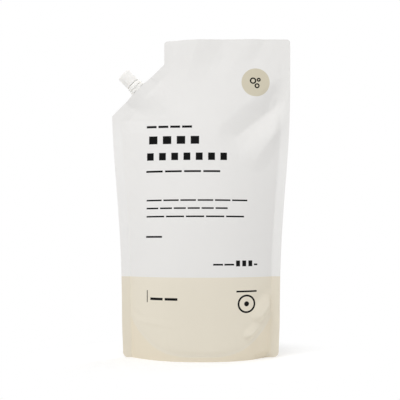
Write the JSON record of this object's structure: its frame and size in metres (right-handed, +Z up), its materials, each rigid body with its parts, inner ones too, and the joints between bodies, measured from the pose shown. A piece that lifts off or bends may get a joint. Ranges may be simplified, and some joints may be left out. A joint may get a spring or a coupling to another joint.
{
  "type": "toilet cleaner refill pouch",
  "caption": "Filled stand-up refill pouch with a gusseted foot, a cut corner that holds a short spout, and a ribbed screw cap.",
  "frame": {"origin": "on the floor under the middle of the pouch", "axes": "+Z up along the pouch's height, the printed front faces -Y, the spout points up and towards -X"},
  "size_m": [0.1604, 0.0718, 0.285],
  "materials": {
    "film": "matt printed laminate film, white above and beige at the foot",
    "spout_plastic": "moulded white polyethylene",
    "cap_plastic": "moulded white polyethylene, satin"
  },
  "bodies": {
    "filled_pouch": {"pouch": "film", "spout": "spout_plastic"},
    "screw_cap": {"cap": "cap_plastic"}
  },
  "joints": [
    {"name": "cap_off", "type": "slide", "parent": "filled_pouch", "child": "screw_cap", "axis": [-0.7071, 0, 0.7071], "range_m": [0, 0.03]}
  ]
}
